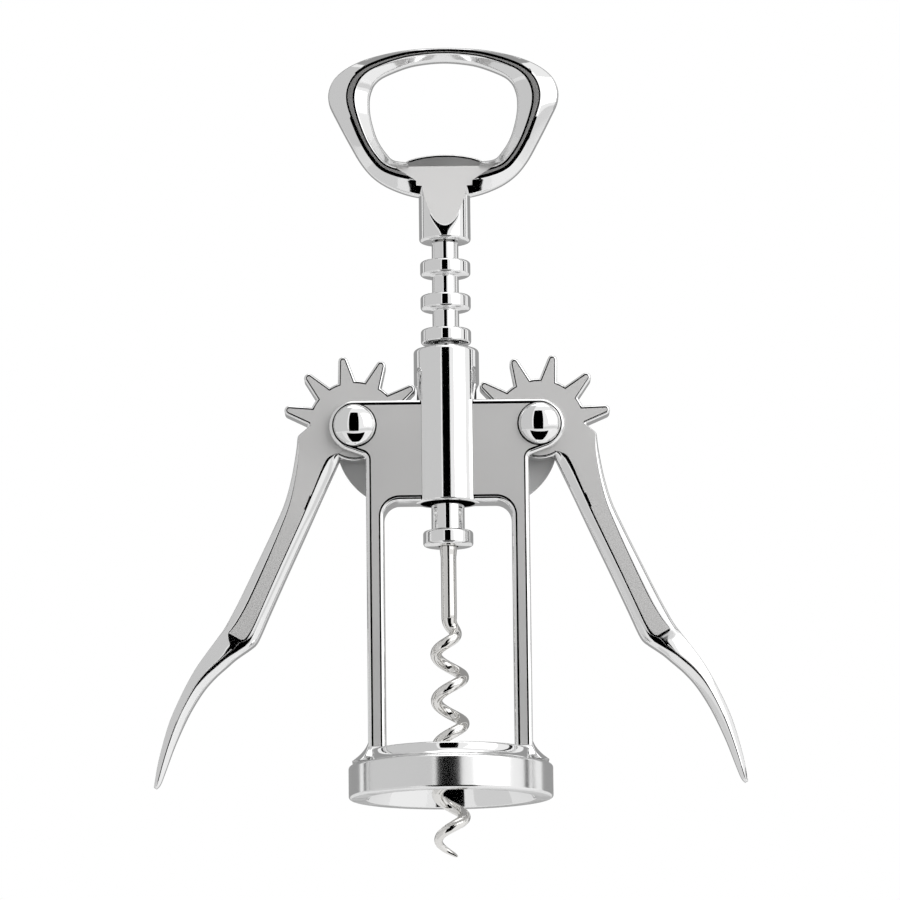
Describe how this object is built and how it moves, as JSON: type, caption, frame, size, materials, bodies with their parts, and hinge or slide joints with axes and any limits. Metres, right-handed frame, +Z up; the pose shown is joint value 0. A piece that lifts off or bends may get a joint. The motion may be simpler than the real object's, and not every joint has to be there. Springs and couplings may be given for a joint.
{
  "type": "winged corkscrew",
  "caption": "Winged corkscrew with geared levers, a ringed rack spindle, an open worm, a bell that seats on the bottle neck, and a loop handle that also lifts crown caps.",
  "frame": {"origin": "middle of the bell's mouth, in the plane of its bottom rim, where the neck of the bottle enters", "axes": "+Z up along the spindle towards the handle, +X towards the right lever as seen from the front, -Y towards the viewer who sees the domed rivets"},
  "size_m": [0.1294, 0.0446, 0.1802],
  "materials": {
    "chrome_casting": "chrome plate on a polished zinc die casting",
    "chrome_turned": "chrome plate on turned steel",
    "plated_wire": "nickel plated steel wire"
  },
  "bodies": {
    "frame": {"frame_casting": "chrome_casting", "pivot_rivet_left": "chrome_turned", "pivot_rivet_right": "chrome_turned"},
    "lever_left": {"lever_left": "chrome_casting"},
    "lever_right": {"lever_right": "chrome_casting"},
    "rack": {"rack_sleeve": "chrome_turned"},
    "screw": {"handle": "chrome_casting", "worm": "plated_wire", "stop_collar": "chrome_turned"}
  },
  "joints": [
    {"name": "lever_left_swing", "type": "hinge", "parent": "frame", "child": "lever_left", "pos_m": [-0.0203, 0, 0.0819], "axis": [0, 1, 0], "range_deg": [-24, 126]},
    {"name": "lever_right_swing", "type": "hinge", "parent": "frame", "child": "lever_right", "pos_m": [0.0203, 0, 0.0819], "axis": [0, -1, 0], "range_deg": [-24, 126]},
    {"name": "spindle_slide", "type": "slide", "parent": "frame", "child": "rack", "axis": [0, 0, 1], "range_m": [-0.0295, 0.0057]},
    {"name": "screw_turn", "type": "hinge", "parent": "rack", "child": "screw", "pos_m": [0, 0, 0], "axis": [0, 0, 1], "continuous": true}
  ],
  "couplings": [
    {"joint": "lever_right_swing", "follows": "lever_left_swing", "ratio": 1},
    {"joint": "spindle_slide", "follows": "lever_left_swing", "m_per_rad": -0.013411}
  ]
}
